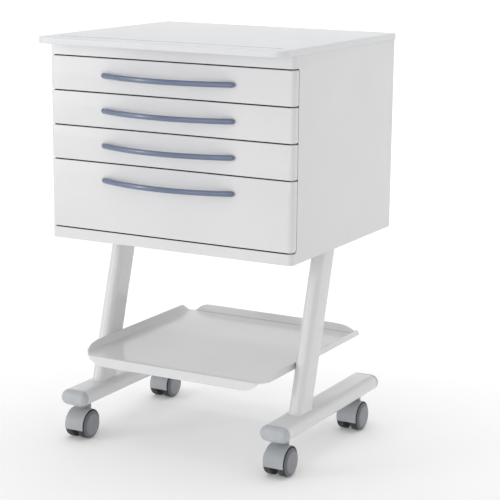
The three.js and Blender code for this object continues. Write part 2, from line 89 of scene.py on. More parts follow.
class Surface:
    """A Principled material whose colour, roughness and relief vary through noise."""

    def __init__(self, name, color, roughness, metallic=0.0, specular=0.5, coat=0.0):
        self.material = bpy.data.materials.new(name)
        self.material.use_nodes = True
        self.tree = self.material.node_tree
        self.shader = self.tree.nodes["Principled BSDF"]
        self.shader.inputs["Base Color"].default_value = color
        self.shader.inputs["Roughness"].default_value = roughness
        self.shader.inputs["Metallic"].default_value = metallic
        self.shader.inputs["Specular IOR Level"].default_value = specular
        self.shader.inputs["Coat Weight"].default_value = coat
        self.shader.inputs["Coat Roughness"].default_value = 0.08
        self.place = self.node("TexCoord").outputs["Object"]
        self.relief = None

    def node(self, kind):
        return self.tree.nodes.new("ShaderNode" + kind)

    def noise(self, size, detail=3.0, stretch=(1, 1, 1)):
        """Noise whose features are about size metres across, longer where stretch is small."""
        mapping = self.node("Mapping")
        mapping.inputs["Scale"].default_value = stretch
        texture = self.node("TexNoise")
        texture.inputs["Scale"].default_value = 1 / size
        texture.inputs["Detail"].default_value = detail
        self.tree.links.new(self.place, mapping.inputs["Vector"])
        self.tree.links.new(mapping.outputs["Vector"], texture.inputs["Vector"])
        return texture.outputs["Fac"]

    def vary_color(self, factor, dark, light):
        """Runs the colour from dark to light over the middle of the noise's range."""
        ramp = self.node("ValToRGB")
        for element, place, color in zip(ramp.color_ramp.elements, (0.35, 0.65), (dark, light)):
            element.position = place
            element.color = color
        self.tree.links.new(factor, ramp.inputs["Fac"])
        self.tree.links.new(ramp.outputs["Color"], self.shader.inputs["Base Color"])

    def vary_roughness(self, factor, low, high):
        spread = self.node("MapRange")
        spread.inputs["From Min"].default_value = 0.2
        spread.inputs["From Max"].default_value = 0.8
        spread.inputs["To Min"].default_value = low
        spread.inputs["To Max"].default_value = high
        self.tree.links.new(factor, spread.inputs["Value"])
        self.tree.links.new(spread.outputs["Result"], self.shader.inputs["Roughness"])

    def bump(self, height, strength, distance):
        """Adds relief on top of any that the surface has already."""
        bump = self.node("Bump")
        bump.inputs["Strength"].default_value = strength
        bump.inputs["Distance"].default_value = distance
        self.tree.links.new(height, bump.inputs["Height"])
        if self.relief:
            self.tree.links.new(self.relief, bump.inputs["Normal"])
        self.relief = bump.outputs["Normal"]
        self.tree.links.new(self.relief, self.shader.inputs["Normal"])


def powder_coat(name, color, roughness):
    """Baked satin paint on sheet steel: a fine orange peel under a soft gloss."""
    surface = Surface(name, color, roughness, specular=0.45, coat=0.45)
    cloud = surface.noise(0.22, detail=2)
    surface.vary_color(cloud, scaled(color, 0.972), color)
    surface.vary_roughness(surface.noise(0.16, detail=1), roughness - 0.04, roughness + 0.06)
    orange_peel = surface.noise(0.0022, detail=2)
    surface.bump(orange_peel, strength=0.16, distance=0.00006)
    waves = surface.noise(0.018, detail=1)
    surface.bump(waves, strength=0.05, distance=0.0002)
    return surface.material


def moulded_plastic(name, color, roughness, specular=0.4):
    """Injection-moulded plastic: a fine spark-eroded grain and faint flow marks."""
    surface = Surface(name, color, roughness, specular=specular)
    flow = surface.noise(0.02, detail=4, stretch=(1, 1, 0.4))
    surface.vary_color(flow, scaled(color, 0.94), color)
    surface.vary_roughness(surface.noise(0.03, detail=1), roughness - 0.04, roughness + 0.05)
    grain = surface.noise(0.0007, detail=2)
    surface.bump(grain, strength=0.18, distance=0.00003)
    return surface.material


def laminate(name, color):
    """The worktop's satin skin: a very fine pebble texture with slight wiping marks."""
    surface = Surface(name, color, 0.34, specular=0.5, coat=0.15)
    surface.vary_color(surface.noise(0.3, detail=2), scaled(color, 0.98), color)
    wiping = surface.noise(0.03, detail=5, stretch=(0.25, 1, 1))
    surface.vary_roughness(wiping, 0.31, 0.42)
    pebbles = surface.noise(0.0011, detail=2)
    surface.bump(pebbles, strength=0.12, distance=0.00004)
    return surface.material


def glossy_plastic(name, color):
    """The handles' skin: smooth, lacquered and a little uneven, as a moulding is."""
    surface = Surface(name, color, 0.22, specular=0.5, coat=0.45)
    flow = surface.noise(0.03, stretch=(0.3, 1, 1))
    surface.vary_color(flow, color, scaled(color, 1.08))
    surface.vary_roughness(surface.noise(0.015), 0.18, 0.26)
    waves = surface.noise(0.004, detail=1)
    surface.bump(waves, strength=0.06, distance=0.00008)
    return surface.material


def zinc_plate(name):
    """Zinc-plated steel: drawn along its length, with soft grey spangle."""
    dark, light = srgb(150, 152, 155), srgb(205, 207, 210)
    surface = Surface(name, light, 0.34, metallic=0.95)
    surface.vary_color(surface.noise(0.006, detail=6), dark, light)
    drawn = surface.noise(0.0016, detail=4, stretch=(1, 0.05, 1))
    surface.vary_roughness(drawn, 0.3, 0.46)
    surface.bump(drawn, strength=0.18, distance=0.00004)
    return surface.material


def tread_rubber(name):
    """The wheels' soft tyre: dark grey, scuffed lighter, with a fine grain."""
    dark, light = srgb(52, 53, 55), srgb(74, 75, 77)
    surface = Surface(name, dark, 0.62, specular=0.3)
    scuffs = surface.noise(0.008, detail=8)
    surface.vary_color(scuffs, dark, light)
    surface.vary_roughness(surface.noise(0.004, detail=4), 0.52, 0.74)
    grain = surface.noise(0.0012, detail=4)
    surface.bump(grain, strength=0.3, distance=0.00012)
    return surface.material


def black_rubber(name):
    """The spacers, and the black strips, lips and groove filling that paint the shade in gaps: matt
    black with a fine dry grain.
    """
    surface = Surface(name, srgb(30, 30, 32), 0.8, specular=0.25)
    surface.vary_color(surface.noise(0.004, detail=6), srgb(24, 24, 26), srgb(42, 42, 44))
    grain = surface.noise(0.0009, detail=3)
    surface.bump(grain, strength=0.35, distance=0.0001)
    return surface.material


WHITE = powder_coat("white_powder_coat", srgb(220, 220, 221), 0.34)
GLOSS_WHITE = powder_coat("white_tube_coat", srgb(220, 220, 220), 0.14)
TOP_WHITE = laminate("white_laminate", srgb(220, 221, 223))
SLATE = glossy_plastic("slate_blue", srgb(102, 112, 138))
CAP_GREY = moulded_plastic("cap_grey", srgb(184, 187, 190), 0.33, specular=0.6)
HOOD_GREY = moulded_plastic("hood_grey", srgb(172, 175, 178), 0.4)
DISC_GREY = moulded_plastic("disc_grey", srgb(140, 142, 146), 0.4)
RIM_GREY = moulded_plastic("rim_grey", srgb(108, 110, 114), 0.4)
TREAD = tread_rubber("tread")
RUBBER_AND_PAINTED_SHADE = black_rubber("black_rubber")
ZINC = zinc_plate("zinc_steel")


# ------------------------------------------------------------------ mesh helpers


def metre_mesh(name, bm):
    """Turns a bmesh in millimetres into a mesh in metres."""
    bmesh.ops.scale(bm, vec=(MM, MM, MM), verts=bm.verts)
    mesh = bpy.data.meshes.new(name)
    bm.to_mesh(mesh)
    bm.free()
    return mesh


def smooth(mesh, sharp):
    """Shades a mesh smoothly, but for its hard edges."""
    mesh.shade_smooth()
    mesh.set_sharp_from_angle(angle=sharp)


def link(name, data):
    """A new object for a mesh, light or camera, put into the scene."""
    made = bpy.data.objects.new(name, data)
    bpy.context.scene.collection.objects.link(made)
    return made


def new_piece(name, bm, material, slot, body, replaces=(), bevel=0.0, segments=3, up=False):
    """Turns a bmesh in millimetres into a finished piece that rides on a CAD body.

    up is for an open skin whose largest face has its outer side upwards.
    """
    bmesh.ops.remove_doubles(bm, verts=bm.verts, dist=1e-4)
    bmesh.ops.recalc_face_normals(bm, faces=bm.faces)
    if up and max(bm.faces, key=lambda face: face.calc_area()).normal.z < 0:
        bmesh.ops.reverse_faces(bm, faces=bm.faces)
    mesh = metre_mesh(name, bm)
    smooth(mesh, SHARP)
    mesh.materials.append(material)
    piece = link(name, mesh)
    if bevel:
        soften(piece, bevel * MM, segments)
    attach(piece, body)
    if replaces:
        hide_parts(*replaces)
    return piece


def soften(piece, width, segments=2):
    """Rounds a piece's hard edges and keeps its flat faces flat."""
    bevel = piece.modifiers.new("edges", "BEVEL")
    bevel.width = width
    bevel.segments = segments
    bevel.limit_method = "ANGLE"
    bevel.angle_limit = SHARP
    bevel.use_clamp_overlap = True
    bevel.harden_normals = True


def thicken(piece, thickness):
    """Gives a skin its sheet thickness, behind its outer side."""
    wall = piece.modifiers.new("sheet", "SOLIDIFY")
    wall.thickness = thickness * MM
    wall.offset = -1


def cut_with(piece, bm):
    """Cuts a closed bmesh, in millimetres, out of a piece, ahead of the piece's own modifiers."""
    bmesh.ops.recalc_face_normals(bm, faces=bm.faces)
    cutter = link("cutter", metre_mesh("cutter", bm))
    own = list(piece.modifiers)
    for modifier in own:
        modifier.show_viewport = False
    boolean = piece.modifiers.new("cut", "BOOLEAN")
    boolean.operation = "DIFFERENCE"
    boolean.solver = "EXACT"
    boolean.object = cutter
    graph = bpy.context.evaluated_depsgraph_get()
    cut = bpy.data.meshes.new_from_object(piece.evaluated_get(graph))
    piece.modifiers.remove(boolean)
    for modifier in own:
        modifier.show_viewport = True
    piece.data = cut
    smooth(cut, SHARP)
    bpy.data.objects.remove(cutter)


def loft(rings, cap_end=True, closed=False):
    """A skin through rings of points, each ring with the same number of them."""
    bm = bmesh.new()
    loops = [[bm.verts.new(point) for point in ring] for ring in rings]
    if closed:
        loops.append(loops[0])
    count = len(loops[0])
    for lower, upper in zip(loops, loops[1:]):
        for i in range(count):
            j = (i + 1) % count
            bm.faces.new((lower[i], lower[j], upper[j], upper[i]))
    if not closed:
        bm.faces.new(reversed(loops[0]))
        if cap_end:
            bm.faces.new(loops[-1])
    return bm


def block(low, high):
    """A plain block between two corners."""
    bm = bmesh.new()
    xs, ys, zs = zip(low, high)
    corners = [bm.verts.new((x, y, z)) for x in xs for y in ys for z in zs]
    faces = ((0, 1, 3, 2), (4, 6, 7, 5), (0, 4, 5, 1), (2, 3, 7, 6), (0, 2, 6, 4), (1, 5, 7, 3))
    for face in faces:
        bm.faces.new([corners[i] for i in face])
    return bm


def revolve(profile, steps):
    """A body of revolution about the X axis from (x, radius) points, closed on itself."""
    rings = []
    for i in range(steps):
        turn = 2 * math.pi * i / steps
        rings.append([(x, r * math.cos(turn), r * math.sin(turn)) for x, r in profile])
    return loft(rings, closed=True)


def quarter(steps):
    """Angles from 0 to a right angle."""
    return [math.pi / 2 * i / steps for i in range(steps + 1)]


def circle(centre, radius, steps):
    """Points round a full circle."""
    turns = [2 * math.pi * i / steps for i in range(steps)]
    return [(centre[0] + radius * math.cos(a), centre[1] + radius * math.sin(a)) for a in turns]


def arc(centre, radius, start, end, steps):
    """Points on an arc, angles in degrees."""
    points = []
    for i in range(steps + 1):
        angle = math.radians(start + (end - start) * i / steps)
        points.append((centre[0] + radius * math.cos(angle), centre[1] + radius * math.sin(angle)))
    return points


def oval(length, thickness):
    """A flat oval in its own plane: two half circles joined by straight sides."""
    radius, steps = thickness / 2, 20
    reach = length / 2 - radius
    right = arc((reach, 0), radius, -90, 90, steps)
    left = arc((-reach, 0), radius, 90, 270, steps)
    return right + left


# ------------------------------------------------------------------ cabinet

SHEET = 1.5
CORNER = 11.0  # rounding of the cabinet's upright front edges
side_low, side_high = mm_box("side_panel_right")
top_rail_low, top_rail_high = mm_box("top_rail")
bottom_rail_low, bottom_rail_high = mm_box("bottom_rail")
HALF_WIDTH = top_rail_high.x
FRONT = top_rail_low.y
BACK = side_high.y


def wrap_path(inset, end):
    """The cabinet's plan outline from its left side, round the front, to its right side."""
    half, radius, steps = HALF_WIDTH - inset, CORNER - inset, 10
    left = arc((-half + radius, FRONT + inset + radius), radius, 180, 270, steps)
    right = arc((half - radius, FRONT + inset + radius), radius, 270, 360, steps)
    return [(-half, end)] + left + right + [(half, end)]


def make_cabinet_shell():
    """One folded skin: the sides, the two rails, the corners between them and the rear flanges."""
    flange = 14
    bm = bmesh.new()
    walls = []
    for inset in (0, SHEET):
        rear = BACK - inset
        path = wrap_path(inset, rear)
        path = [(-HALF_WIDTH + flange, rear)] + path + [(HALF_WIDTH - flange, rear)]
        heights = (bottom_rail_low.z, top_rail_high.z)
        walls.append([[bm.verts.new((x, y, z)) for x, y in path] for z in heights])
    (out_low, out_high), (in_low, in_high) = walls
    for i in range(len(out_low) - 1):
        j = i + 1
        bm.faces.new((out_low[i], out_low[j], out_high[j], out_high[i]))
        bm.faces.new((in_low[j], in_low[i], in_high[i], in_high[j]))
        bm.faces.new((out_high[i], out_high[j], in_high[j], in_high[i]))
        bm.faces.new((in_low[i], in_low[j], out_low[j], out_low[i]))
    for k in (0, -1):
        bm.faces.new((out_low[k], out_high[k], in_high[k], in_low[k]))
    stands_for = ("side_panel_left", "side_panel_right", "top_rail", "bottom_rail")
    shell = new_piece(
        "cabinet_shell", bm, WHITE, "white_paint", "cart_frame", replaces=stands_for, bevel=0.7
    )
    cut_with(shell, drawer_opening())


def drawer_opening():
    """The notch for the drawer fronts, seen from the side, carried across the cabinet."""
    low, high, rear = bottom_rail_high.z, top_rail_low.z, side_low.y
    foot, head = 8, 4  # radii of its rear corners
    beyond = 20
    profile = [(FRONT - beyond, low)]
    profile += arc((rear - foot, low + foot), foot, 270, 360, 8)
    profile += arc((rear - head, high - head), head, 0, 90, 6)
    profile += [(FRONT - beyond, high)]
    ends = (-HALF_WIDTH - beyond, HALF_WIDTH + beyond)
    return loft([[(x, y, z) for y, z in profile] for x in ends])


def make_rail_returns():
    """The rails' folded-back edges above and below the drawers."""
    plan = wrap_path(SHEET, top_rail_high.y)
    for name, base in (("top", top_rail_low.z), ("bottom", bottom_rail_high.z - SHEET)):
        bm = loft([[(x, y, z) for x, y in plan] for z in (base, base + SHEET)])
        new_piece(f"{name}_rail_return", bm, WHITE, "white_paint", "cart_frame", bevel=0.4)


# A black strip that paints the shade in a gap.
def make_shade_strip(name, body, low, high):
    new_piece(name, block(low, high), RUBBER_AND_PAINTED_SHADE, "black_rubber", body, bevel=0.2)


def make_painted_shade_strips():
    """Painted shade: thin black strips in the gaps above, below and behind the drawer fronts, which
    darken gaps that are dark with shade.
    """
    across = HALF_WIDTH - CORNER
    near, far = FRONT + 1.2, FRONT + 7.0
    overlap, thick = 0.4, 1.9

    def make_level_shade_strip(name, body, z):
        make_shade_strip(name, body, (-across, near, z - overlap), (across, far, z + thick))

    for number in DRAWERS:
        drawer = f"drawer_{number}"
        make_level_shade_strip(f"front_seal_{number}", drawer, mm_box(f"{drawer}_front")[1].z)
    make_level_shade_strip("bottom_shade_strip", "cart_frame", bottom_rail_high.z)

    # Painted shade in the gaps between the drawer fronts' wrapped corners and the side panels.
    rear_gap, lap = 0.25, 0.2
    start, end = mm_box("drawer_1_front")[1].y + rear_gap, side_low.y + lap
    inner, outer = HALF_WIDTH - 1.7, HALF_WIDTH - 0.08
    foot, head = bottom_rail_high.z + 7, top_rail_low.z - 4
    for side, way in zip(SIDES, (-1, 1)):
        x0, x1 = sorted((way * inner, way * outer))
        make_shade_strip(f"side_shade_strip_{side}", "cart_frame", (x0, start, foot), (x1, end, head))


def corner_cut(depth, radius):
    """How far a rounded rear corner rises, at a depth in front of the return's end."""
    if depth >= radius:
        return 0.0
    return radius - math.sqrt(radius**2 - (radius - depth) ** 2)


def pan_path(inset, end, radii):
    """A drawer front's plan outline, with points where its corners and rear edges turn."""
    half, radius = HALF_WIDTH - inset, CORNER - inset
    middle = FRONT + CORNER
    turns = [middle - radius * math.cos(a) for a in quarter(10)]
    rears = [end - r * (1 - math.cos(a)) for r in radii for a in quarter(7)]
    places = sorted({round(y, 2) for y in turns + rears if FRONT + inset <= y <= end})
    right = []
    for y in places:
        away = max(0.0, middle - y)
        right.append((half - radius + math.sqrt(max(0.0, radius**2 - away**2)), y))
    left = [(-x, y) for x, y in reversed(right)]
    return left + right


def make_drawer_front(number):
    """A pressed pan whose face turns both of the cabinet's rounded corners."""
    low, high = mm_box(f"drawer_{number}_front")
    foot = 7.0 if number == DRAWERS[-1] else 2.0  # radii of the returns' rear corners
    head = 3.0 if number == DRAWERS[0] else 2.0
    ease, end = 1.3, high.y
    levels = [(ease * (1 - math.sin(a)), ease * (1 - math.cos(a))) for a in quarter(4)]
    rows = []
    for inset, lift in levels:
        path = pan_path(inset, end, (foot, head))
        rows.append([(x, y, low.z + lift + corner_cut(end - y, foot)) for x, y in path])
    for inset, lift in reversed(levels):
        path = pan_path(inset, end, (foot, head))
        rows.append([(x, y, high.z - lift - corner_cut(end - y, head)) for x, y in path])
    bm = bmesh.new()
    rows = [[bm.verts.new(point) for point in row] for row in rows]
    count = len(rows[0])
    for lower, upper in zip(rows, rows[1:]):
        for i in range(count - 1):
            bm.faces.new((lower[i], lower[i + 1], upper[i + 1], upper[i]))
    for row in (rows[0], rows[-1]):
        for i in range(count // 2 - 1):
            j = count - 1 - i
            bm.faces.new((row[i], row[i + 1], row[j - 1], row[j]))
    stands_for = (f"drawer_{number}_front",)
    piece = new_piece(
        f"front_panel_{number}", bm, WHITE, "white_paint", f"drawer_{number}", replaces=stands_for
    )
    thicken(piece, SHEET)


def make_worktop():
    """A slab with broad front corners and eased edges."""
    low, high = mm_box("worktop")
    front_radius, rear_radius = 30.0, 5.0
    crown, base = 1.7, 0.8  # easing of the upper and the lower edge
    levels = [(base * (1 - math.sin(a)), low.z + base * (1 - math.cos(a))) for a in quarter(3)]
    levels += [(crown * (1 - math.cos(a)), high.z - crown * (1 - math.sin(a))) for a in quarter(6)]
    rings = []
    for inset, z in levels:
        x, y0, y1 = high.x - inset, low.y + inset, high.y - inset
        r, s = front_radius - inset, rear_radius - inset
        plan = arc((-x + r, y0 + r), r, 180, 270, 20) + arc((x - r, y0 + r), r, 270, 360, 20)
        plan += arc((x - s, y1 - s), s, 0, 90, 8) + arc((-x + s, y1 - s), s, 90, 180, 8)
        rings.append([(px, py, z) for px, py in plan])
    slab = new_piece(
        "worktop_slab", loft(rings), TOP_WHITE, "worktop_white", "cart_frame", replaces=("worktop",)
    )
    make_worktop_groove(slab, high.z)


def make_worktop_groove(slab, top):
    """A narrow groove across the front of the worktop, part filled with a black filling that is
    painted shade: it darkens the line where the worktop's front steps down.
    """
    half, depth, beyond = 272.0, 0.9, 2
    front, rear = FRONT - 1.6, FRONT + 1.6
    cut_with(slab, block((-half, front, top - depth), (half, rear, top + beyond)))
    # Painted shade: the black filling in the groove stands for the shade line along the worktop's
    # front.
    shade_bead_half, shade_bead_front, shade_bead_top = half - 0.1, FRONT - 0.7, top - 0.02
    shade_bead = block((-shade_bead_half, shade_bead_front, top - depth), (shade_bead_half, rear, shade_bead_top))
    new_piece("worktop_shade_line", shade_bead, RUBBER_AND_PAINTED_SHADE, "black_rubber", "cart_frame", bevel=0.15)


def fuller(value, power):
    """Flattens a sine or cosine, so that a section is fuller than an ellipse."""
    return math.copysign(abs(value) ** power, value)


def make_handle(number):
    """A bow of soft oval section, swept along a flat arc and rounded off at both ends."""
    low, high = mm_box(f"drawer_{number}_handle")
    z = (low.z + high.z) / 2
    half_height, half_depth, tip = 5.9, 4.6, 9.0
    half_length, bulge = high.x - tip + 0.5, 33.0
    radius = (half_length**2 + bulge**2) / (2 * bulge)
    sweep = math.asin(half_length / radius)
    centre_y = low.y + half_depth + radius
    around, steps = 28, 72
    dome = quarter(9)[1:]
    stations = [(-sweep, -tip * math.cos(a), math.sin(a)) for a in dome]
    stations += [(-sweep + 2 * sweep * i / steps, 0.0, 1.0) for i in range(1, steps)]
    stations += [(sweep, tip * math.cos(a), math.sin(a)) for a in reversed(dome)]
    rings = []
    for angle, past, scale in stations:
        x = radius * math.sin(angle) + past * math.cos(angle)
        y = centre_y - radius * math.cos(angle) + past * math.sin(angle)
        ring = []
        for i in range(around):
            turn = 2 * math.pi * i / around
            out = half_depth * scale * fuller(math.cos(turn), 0.82)
            up = half_height * scale * fuller(math.sin(turn), 0.9)
            ring.append((x + math.sin(angle) * out, y - math.cos(angle) * out, z + up))
        rings.append(ring)
    drawer = f"drawer_{number}"
    stands_for = (f"{drawer}_handle",)
    new_piece(f"bow_handle_{number}", loft(rings), SLATE, "slate_blue", drawer, replaces=stands_for)


# ------------------------------------------------------------------ legs and feet


def make_leg(side):
    """A flat-oval tube that leans forward, with a weld fillet where it meets the foot bar."""
    low, high = mm_box(f"leg_{side}")
    x, thickness = (low.x + high.x) / 2, high.x - low.x
    width = 72.8  # of the level section, from front to back
    foot_y, top_y = low.y + width / 2, high.y - width / 2
    fillet, fillet_height = 3.5, 6.0
    seat = mm_box(f"foot_bar_{side}")[1].z - 0.2
    levels = []
    for a in quarter(6):
        levels.append((fillet * (1 - math.sin(a)), seat + fillet_height * (1 - math.cos(a))))
    levels.append((0.0, high.z))
    rings = []
    for flare, z in levels:
        y = foot_y + (top_y - foot_y) * (z - low.z) / (high.z - low.z)
        plan = oval(width + 2 * flare, thickness + 1.2 * flare)
        rings.append([(x + across, y + along, z) for along, across in plan])
    stands_for = (f"leg_{side}",)
    new_piece(
        f"leg_tube_{side}", loft(rings), GLOSS_WHITE, "white_paint", "cart_frame", replaces=stands_for
    )


def bar_rings(side, stations):
    """Rings of a foot bar's flat-oval section, each at a place along the bar and inset from it."""
    low, high = mm_box(f"foot_bar_{side}")
    x, z = (low.x + high.x) / 2, (low.z + high.z) / 2
    width, height = high.x - low.x, high.z - low.z
    rings = []
    for y, inset in stations:
        section = oval(width - 2 * inset, height - 2 * inset)
        rings.append([(x + across, y, z + up) for across, up in section])
    return rings


def make_foot_bar(side):
    """A flat-oval tube with eased ends."""
    node = f"foot_bar_{side}"
    low, high = mm_box(node)
    ease = 0.6
    stations = [(low.y, ease), (low.y + ease, 0.0), (high.y - ease, 0.0), (high.y, ease)]
    bm = loft(bar_rings(side, stations))
    new_piece(f"foot_tube_{side}", bm, WHITE, "white_paint", "cart_frame", replaces=(node,))


def make_foot_cap(row, side):
    """A domed plug: a short straight skirt, then a quarter ellipse to a small flat nose."""
    node = f"foot_cap_{row}_{side}"
    low, high = mm_box(node)
    bar_low, bar_high = mm_box(f"foot_bar_{side}")
    seat, nose, way = (bar_low.y, low.y, -1) if row == "front" else (bar_high.y, high.y, 1)
    dome = abs(nose - seat)
    skirt, seam, nose_inset = 2.0, 0.7, 13.5
    stations = [(seat, 1.4), (seat + way * seam, 1.0), (seat + way * (seam + 0.5), 0.0)]
    for angle in quarter(14):
        reach = skirt + (dome - skirt) * math.sin(angle)
        stations.append((seat + way * reach, nose_inset * (1 - math.cos(angle))))
    bm = loft(bar_rings(side, stations))
    new_piece(f"end_cap_{row}_{side}", bm, CAP_GREY, "cap_grey", "cart_frame", replaces=(node,))


# ------------------------------------------------------------------ shelf

TRAY_CORNER = 20.0  # plan radius of the tray's front corners
UPRIGHT = math.pi / 2 - math.radians(13)  # how far the raised edges are bent up
TURNED_DOWN = math.radians(86)
BEND, BACK_BEND = 4.0, 1.6  # radii of the bends


def make_shelf():
    """A pressed tray: a flat floor, three edges bent up and the front edge bent down."""
    low, high = mm_box("shelf_tray")
    floor_z = 207.5
    rise, drop = high.z - floor_z, floor_z - low.z
    half, front, rear = high.x - 8.5, low.y + 5.0, high.y - 8.55
    rear += (BEND - BACK_BEND) * math.tan(UPRIGHT / 2)
    bm = bmesh.new()
    rows = spread(front, rear, TRAY_CORNER)
    grid = make_tray_floor(bm, half, rows, floor_z)
    for way, column in ((-1, 0), (1, -1)):
        flank = [
            (row[column], side_edge_height(y - front, rear - front, rise))
            for row, y in zip(grid, rows)
        ]
        bend_edge(bm, flank, (way, 0, 0), UPRIGHT, BEND)
    back = [(vert, back_edge_height(vert.co.x, half, rise)) for vert in grid[-1]]
    bend_edge(bm, back, (0, 1, 0), UPRIGHT, BACK_BEND)
    apron = [(vert, front_edge_height(abs(vert.co.x), half, drop)) for vert in grid[0]]
    bend_edge(bm, apron, (0, -1, 0), TURNED_DOWN, BEND, up=-1)
    tray = new_piece(
        "shelf_pressing", bm, WHITE, "white_paint", "cart_frame", replaces=("shelf_tray",), up=True
    )
    thicken(tray, 2.0)
    soften(tray, 0.5 * MM)
    # Painted shade along the back bend of the tray.
    make_shelf_crease_shade(half, rear, floor_z)


def make_shelf_crease_shade(half, rear, floor_z):
    """Painted shade: a grey strip along the bend at the back of the tray, standing in for the shadow
    line in that crease.
    """
    from_end = 12
    low = (from_end - half, rear - 0.5, floor_z - 0.6)
    high = (half - from_end, rear + 0.6, floor_z + 0.5)
    new_piece("shelf_crease_shade", block(low, high), HOOD_GREY, "hood_grey", "cart_frame", bevel=0.2)


def spread(start, end, margin):
    """Places between start and end, closer together near both ends."""
    span, fine, coarse = 2.2 * margin, 10, 16
    places = [start + span * i / fine for i in range(fine)]
    places += [start + span + (end - start - 2 * span) * i / coarse for i in range(coarse)]
    places += [end - span + span * i / fine for i in range(fine + 1)]
    return places


def make_tray_floor(bm, half, rows, z):
    """The tray's flat floor, as rows of vertices from front to back."""
    columns = spread(-half, half, TRAY_CORNER)
    grid = [[bm.verts.new((*round_corner(x, y, half, rows[0]), z)) for x in columns] for y in rows]
    for near, far in zip(grid, grid[1:]):
        for i in range(len(columns) - 1):
            bm.faces.new((near[i], near[i + 1], far[i + 1], far[i]))
    return grid


def round_corner(x, y, half, front):
    """Pulls a place near one of the floor's front corners in to their plan radius."""
    dx, dy = abs(x) - (half - TRAY_CORNER), (front + TRAY_CORNER) - y
    if dx <= 0 or dy <= 0:
        return x, y
    shrink = max(dx, dy) / math.hypot(dx, dy)
    return math.copysign(half - TRAY_CORNER + dx * shrink, x), front + TRAY_CORNER - dy * shrink


def bend_edge(bm, border, outward, turn, bend, up=1):
    """Bends an edge out of the floor's border, given as (vertex, height of the edge) pairs."""
    border = trim_ends(border)
    steps = 8
    curved = bend * turn
    rings = [[vert for vert, _ in border]]
    for k in range(1, steps + 1):
        ring = []
        for vert, height in border:
            along = bent_length(height, bend, turn) * k / steps
            angle = min(along, curved) / bend
            out, climb = bend * math.sin(angle), bend * (1 - math.cos(angle))
            if along > curved:
                out += (along - curved) * math.cos(turn)
                climb += (along - curved) * math.sin(turn)
            away = Vector(outward) * out
            ring.append(bm.verts.new(vert.co + away + Vector((0, 0, climb * up))))
        rings.append(ring)
    for inner, outer in zip(rings, rings[1:]):
        for i in range(len(inner) - 1):
            bm.faces.new((inner[i], inner[i + 1], outer[i + 1], outer[i]))


def trim_ends(border):
    """Keeps the run of border places that have height, and one flat place at each end."""
    tall = [i for i, (_, height) in enumerate(border) if height > 0]
    return border[max(0, tall[0] - 1) : tall[-1] + 2]


def bent_length(height, bend, turn):
    """How long a bent edge is, measured along its surface, for it to rise by height."""
    at_bend = bend * (1 - math.cos(turn))
    if height <= at_bend:
        return bend * math.acos(1 - height / bend)
    return bend * turn + (height - at_bend) / math.sin(turn)


def swell(along, lead):
    """Height at a place along the curve with control points (0, 0), (lead, 1) and (1, 1)."""
    low, high = 0.0, 1.0
    for _ in range(30):
        middle = (low + high) / 2
        reached = 2 * middle * (1 - middle) * lead + middle**2
        low, high = (middle, high) if reached < along else (low, middle)
    return 2 * low * (1 - low) + low**2


def side_edge_height(along, length, rise):
    """Height of a side edge: swept up behind the front corner, tapered at the back."""
    start, sweep = 18.0, 52.0
    if along <= start:
        return 0.0
    if along < start + sweep:
        return rise * swell((along - start) / sweep, 20 / sweep)
    taper, plain_end = 24.0, 3.5
    return rise * max(0.0, min(1.0, (length - plain_end - along) / taper))


def back_edge_height(x, half, rise):
    """Height of the back edge: its left end turns down sharply, its right end in a long curve."""
    inset, sweep, lead = (15.0, 36.0, 0.36) if x < 0 else (4.0, 56.0, 0.5)
    from_end = half - inset - abs(x)
    if from_end <= 0:
        return 0.0
    return rise * swell(min(1.0, from_end / sweep), lead)


def front_edge_height(x, half, drop):
    """Depth of the front edge: its ends sweep down from the front corners."""
    inset, sweep = 12, 46
    from_end = half - inset - x
    if from_end <= 0:
        return 0.0
    return drop * swell(min(1.0, from_end / sweep), 15 / sweep)


def make_shelf_pad(side):
    """A round rubber spacer with eased rims, between the tray and a leg."""
    node = f"shelf_pad_{side}"
    low, high = mm_box(node)
    radius = (high.z - low.z) / 2
    ease = 0.3
    profile = [(low.x, CORE), (low.x, radius - ease), (low.x + ease, radius)]
    profile += [(high.x - ease, radius), (high.x, radius - ease), (high.x, CORE)]
    bm = revolve(profile, 40)
    middle = mm_middle(node)
    bmesh.ops.translate(bm, vec=(0, middle.y, middle.z), verts=bm.verts)
    new_piece(f"spacer_{side}", bm, RUBBER_AND_PAINTED_SHADE, "black_rubber", "cart_frame", replaces=(node,))


# ------------------------------------------------------------------ casters

HOOD_RADIUS = 36.0
HOOD_HALF = 24.0
HOOD_SKIN = 1.2
WHEEL_RADIUS = 32.5
WHEEL_INNER, WHEEL_OUTER = 8.0, 30.0  # how far the wheel's faces are from the caster's middle
RIM_JOINT = 25.2  # where the tyre meets the rim
DISC_RADIUS = 25.0


def make_hood(row, side):
    """The caster's cover: a curved shield over both wheels, a central web and a neck."""
    place = f"{row}_{side}"
    axle = mm_middle(f"caster_axle_{place}")
    stem = mm_middle(f"caster_stem_{place}")
    top = mm_box(f"caster_hood_{place}")[1].z
    shield = sweep_hood(axle, hood_section(), start=10, sweep=182)
    stands_for = (f"caster_hood_{place}",)
    make_hood_part("shield", place, shield, replaces=stands_for, bevel=0.35, segments=2)
    make_hood_shade_lips(place, axle)
    make_hood_part("web", place, hood_web(axle), bevel=0.8)
    make_hood_part("collar", place, hood_collar(axle, stem, top))


def make_hood_part(name, place, bm, **finish):
    new_piece(f"hood_{name}_{place}", bm, HOOD_GREY, "hood_grey", f"swivel_{place}", **finish)


def sweep_hood(axle, section, start, sweep):
    """Sweeps a section of (x, radius) points over the wheels, angles in degrees."""
    steps = 48
    rings = []
    for i in range(steps + 1):
        angle = math.radians(start + sweep * i / steps)
        y, z = math.cos(angle), math.sin(angle)
        rings.append([(axle.x + x, axle.y + r * y, axle.z + r * z) for x, r in section])
    return loft(rings)


